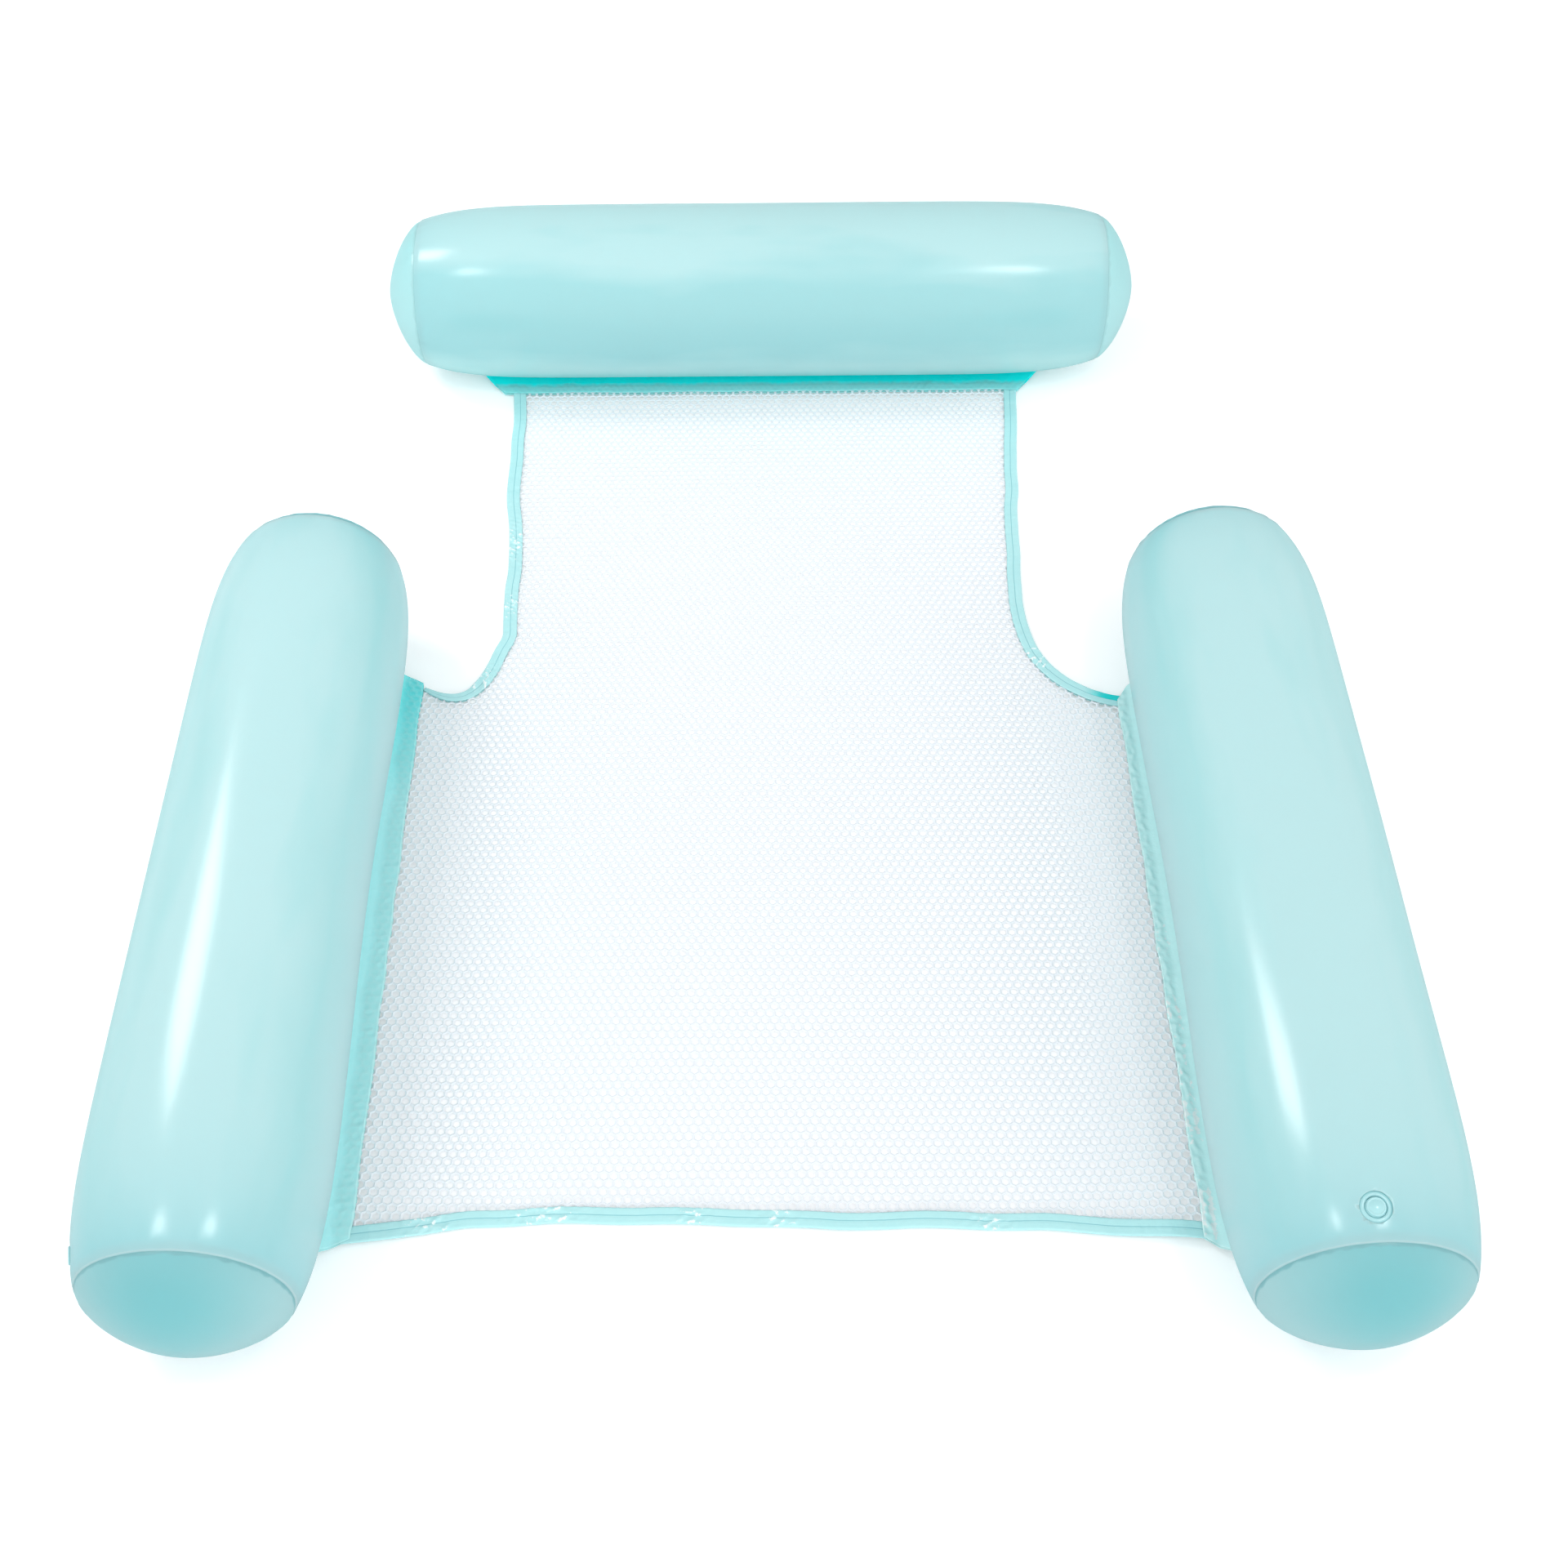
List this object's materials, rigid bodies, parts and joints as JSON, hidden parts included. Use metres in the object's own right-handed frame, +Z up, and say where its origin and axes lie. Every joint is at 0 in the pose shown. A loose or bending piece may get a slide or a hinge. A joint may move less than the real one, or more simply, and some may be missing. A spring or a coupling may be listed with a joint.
{
  "type": "inflatable water hammock",
  "caption": "Inflatable water hammock: a headrest float and arm floats held by vinyl strips round a net seat with bound edges, each float with a plug valve.",
  "frame": {"origin": "on the ground under the middle of the whole outline", "axes": "+X across the seat to the right arm as seen from the foot end, +Y towards the headrest, +Z up"},
  "size_m": [1.0232, 1.287, 0.1824],
  "materials": {
    "float_vinyl": "glossy, slightly translucent aqua vinyl film",
    "strip_vinyl": "glossy translucent teal vinyl film",
    "binding": "folded vinyl tape, satin",
    "net": "white knitted polyester mesh",
    "valve_vinyl": "clear soft vinyl moulding"
  },
  "bodies": {
    "seat": {"net_seat": "net", "front_binding": "binding", "left_neck_binding": "binding", "right_neck_binding": "binding"},
    "headrest": {"headrest_sleeve": "float_vinyl", "headrest_right_end": "float_vinyl", "headrest_left_end": "float_vinyl", "headrest_strip_upper": "strip_vinyl", "headrest_strip_lower": "strip_vinyl", "headrest_valve_flange": "valve_vinyl"},
    "headrest_stem": {"headrest_valve_stem": "valve_vinyl"},
    "headrest_plug": {"headrest_valve_plug": "valve_vinyl"},
    "right_arm": {"right_arm_sleeve": "float_vinyl", "right_arm_near_end": "float_vinyl", "right_arm_far_end": "float_vinyl", "right_arm_strip_upper": "strip_vinyl", "right_arm_strip_lower": "strip_vinyl", "right_arm_valve_flange": "valve_vinyl"},
    "right_arm_stem": {"right_arm_valve_stem": "valve_vinyl"},
    "right_arm_plug": {"right_arm_valve_plug": "valve_vinyl"},
    "left_arm": {"left_arm_sleeve": "float_vinyl", "left_arm_far_end": "float_vinyl", "left_arm_near_end": "float_vinyl", "left_arm_strip_upper": "strip_vinyl", "left_arm_strip_lower": "strip_vinyl", "left_arm_valve_flange": "valve_vinyl"},
    "left_arm_stem": {"left_arm_valve_stem": "valve_vinyl"},
    "left_arm_plug": {"left_arm_valve_plug": "valve_vinyl"}
  },
  "joints": [
    {"name": "headrest_fold", "type": "hinge", "parent": "seat", "child": "headrest", "pos_m": [0, 0.50129, 0.0016], "axis": [1, 0, 0], "range_deg": [-15, 54], "deforming": ["headrest_strip_upper", "headrest_strip_lower"]},
    {"name": "headrest_valve_pull", "type": "slide", "parent": "headrest", "child": "headrest_stem", "axis": [0.2088, 0.9446, 0.2531], "range_m": [0, 0.015]},
    {"name": "headrest_plug_open", "type": "hinge", "parent": "headrest_stem", "child": "headrest_plug", "pos_m": [0.33662, 0.63456, 0.11326], "axis": [0, -0.2588, 0.9659], "range_deg": [0, 150]},
    {"name": "right_arm_fold", "type": "hinge", "parent": "seat", "child": "right_arm", "pos_m": [0.3437, -0.24246, 0.0016], "axis": [-0.0087, -1, 0], "range_deg": [-15, 75], "deforming": ["right_arm_strip_upper", "right_arm_strip_lower"]},
    {"name": "right_arm_valve_pull", "type": "slide", "parent": "right_arm", "child": "right_arm_stem", "axis": [-0.1041, -0.2055, 0.9731], "range_m": [0, 0.015]},
    {"name": "right_arm_plug_open", "type": "hinge", "parent": "right_arm_stem", "child": "right_arm_plug", "pos_m": [0.40692, -0.57204, 0.17599], "axis": [-0.9945, 0.0087, -0.1045], "range_deg": [0, 150]},
    {"name": "left_arm_fold", "type": "hinge", "parent": "seat", "child": "left_arm", "pos_m": [-0.3437, -0.24246, 0.0016], "axis": [-0.0087, 1, 0], "range_deg": [-15, 75], "deforming": ["left_arm_strip_upper", "left_arm_strip_lower"]},
    {"name": "left_arm_valve_pull", "type": "slide", "parent": "left_arm", "child": "left_arm_stem", "axis": [-0.9433, -0.2147, 0.2532], "range_m": [0, 0.015]},
    {"name": "left_arm_plug_open", "type": "hinge", "parent": "left_arm_stem", "child": "left_arm_plug", "pos_m": [-0.49816, -0.57284, 0.11328], "axis": [-0.2588, -0.0023, -0.9659], "range_deg": [0, 150]}
  ]
}
